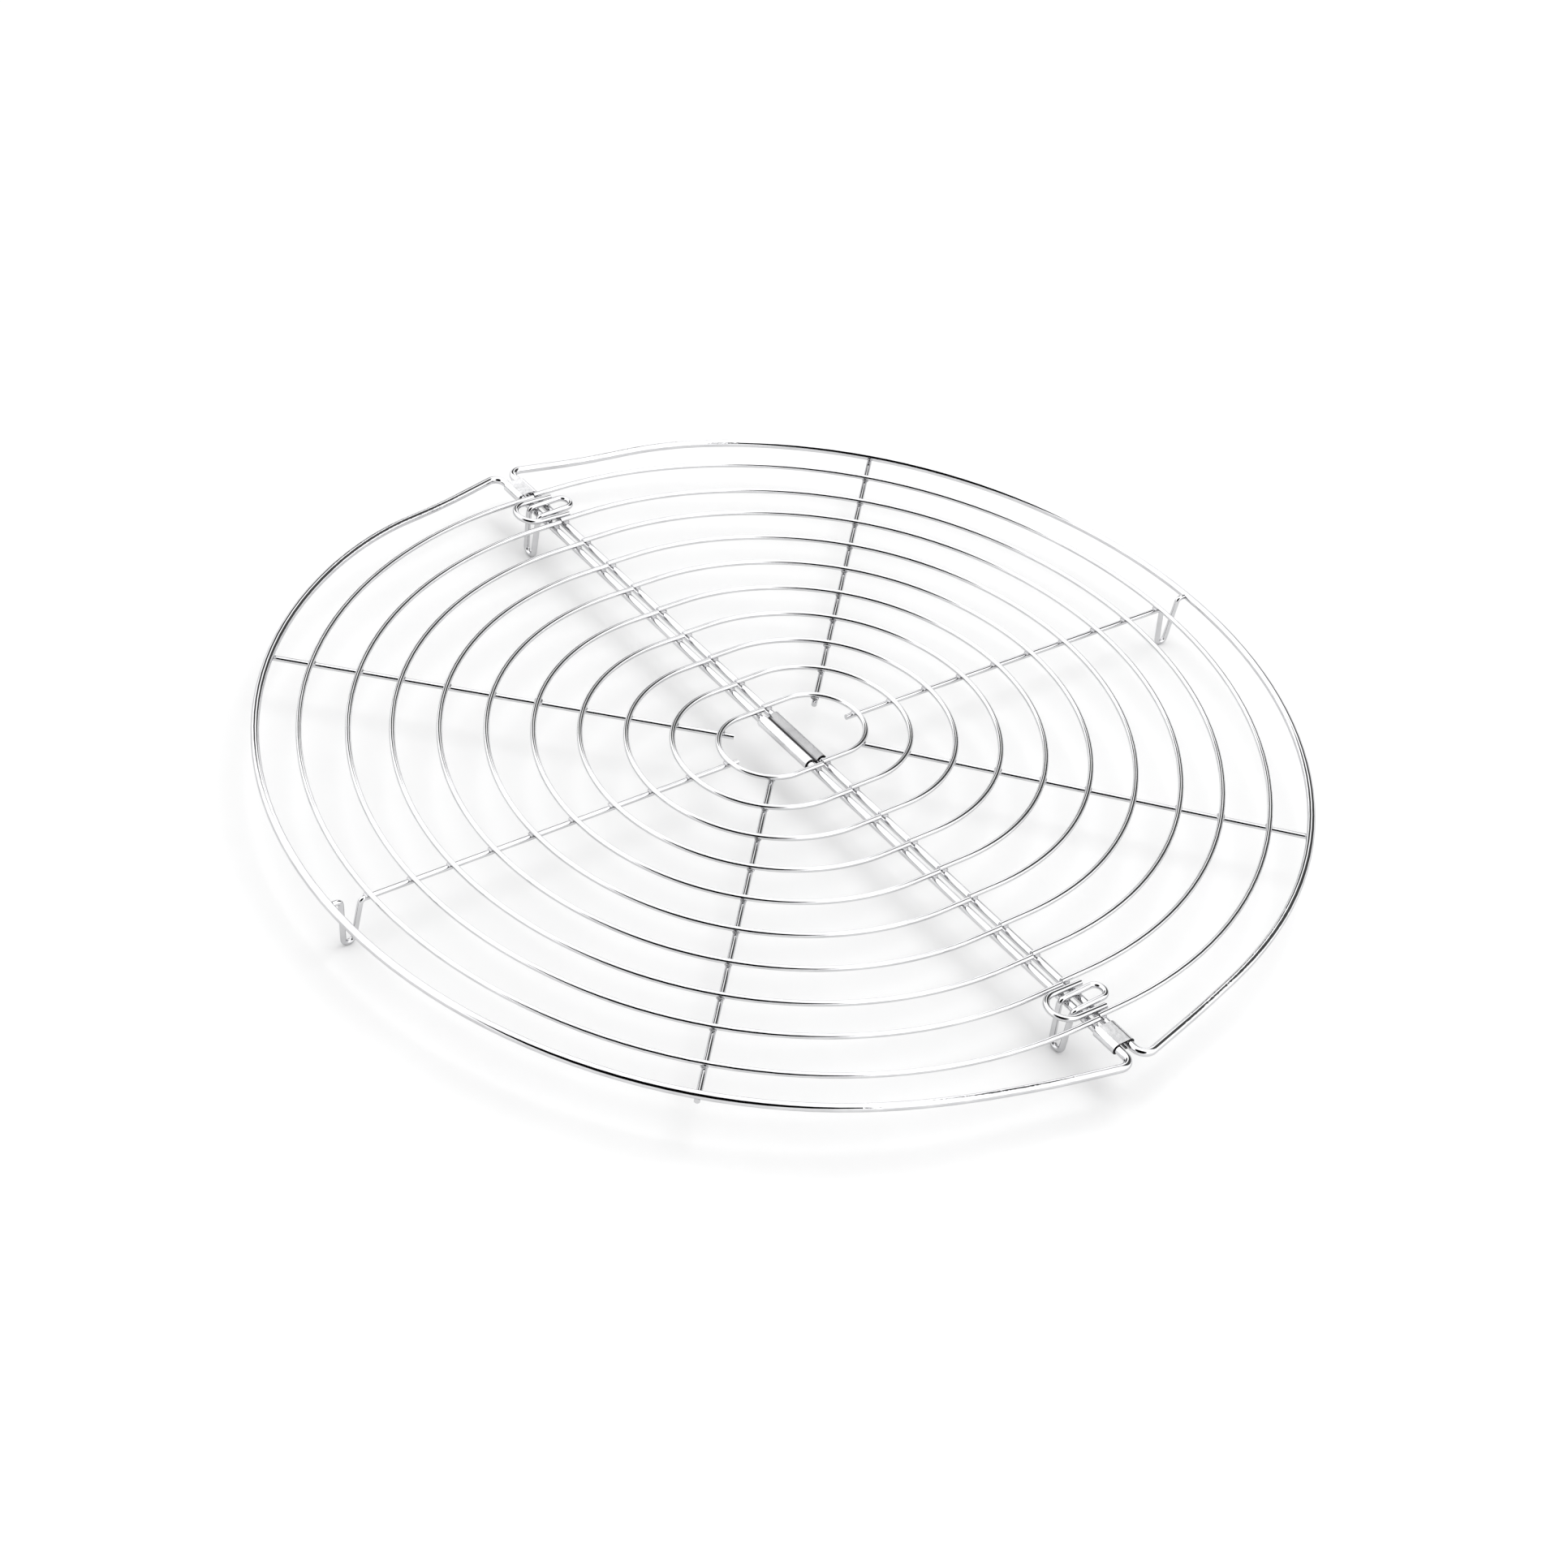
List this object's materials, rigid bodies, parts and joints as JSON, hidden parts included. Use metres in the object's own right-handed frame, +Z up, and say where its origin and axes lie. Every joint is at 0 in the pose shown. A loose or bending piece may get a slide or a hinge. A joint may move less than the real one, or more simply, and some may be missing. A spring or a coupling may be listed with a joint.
{
  "type": "folding cooling rack",
  "caption": "Round wire cooling rack of concentric half rings on spokes, made of two D-shaped halves that fold flat on sheet-metal hinge sleeves, standing on bent wire feet.",
  "frame": {"origin": "on the standing surface, under the middle of the fold, at the bottom centre of the bounding box", "axes": "+X along the fold, +Y towards the back half (the one that carries the stop loops), +Z up"},
  "size_m": [0.3214, 0.3284, 0.0186],
  "materials": {
    "fold_loop_wire": "bright plated wire",
    "frame_wire": "bright plated wire",
    "hinge_sheet": "bright plated sheet",
    "ring_wire": "bright plated wire",
    "spoke_wire": "bright plated wire"
  },
  "bodies": {
    "front_half": {"front_foot_spoke": "spoke_wire", "front_frame": "frame_wire", "front_left_spoke": "spoke_wire", "front_right_spoke": "spoke_wire", "front_ring_01": "ring_wire", "front_ring_02": "ring_wire", "front_ring_03": "ring_wire", "front_ring_04": "ring_wire", "front_ring_05": "ring_wire", "front_ring_06": "ring_wire", "front_ring_07": "ring_wire", "front_ring_08": "ring_wire", "front_ring_09": "ring_wire", "front_ring_10": "ring_wire", "left_fold_foot": "fold_loop_wire", "right_fold_foot": "fold_loop_wire"},
    "hinge_sleeves": {"centre_hinge_sleeve": "hinge_sheet", "left_hinge_sleeve": "hinge_sheet", "right_hinge_sleeve": "hinge_sheet"},
    "back_half": {"back_foot_spoke": "spoke_wire", "back_frame": "frame_wire", "back_left_spoke": "spoke_wire", "back_right_spoke": "spoke_wire", "back_ring_01": "ring_wire", "back_ring_02": "ring_wire", "back_ring_03": "ring_wire", "back_ring_04": "ring_wire", "back_ring_05": "ring_wire", "back_ring_06": "ring_wire", "back_ring_07": "ring_wire", "back_ring_08": "ring_wire", "back_ring_09": "ring_wire", "back_ring_10": "ring_wire", "left_stop_loop": "fold_loop_wire", "right_stop_loop": "fold_loop_wire"}
  },
  "joints": [
    {"name": "sleeves_fold", "type": "hinge", "parent": "front_half", "child": "hinge_sleeves", "pos_m": [0, -0.0022, 0.01498], "axis": [-1, 0, 0], "range_deg": [0, 90]},
    {"name": "back_half_fold", "type": "hinge", "parent": "hinge_sleeves", "child": "back_half", "pos_m": [0, 0.0022, 0.01498], "axis": [-1, 0, 0], "range_deg": [0, 90]}
  ],
  "couplings": [
    {"joint": "sleeves_fold", "follows": "back_half_fold", "ratio": 1}
  ]
}
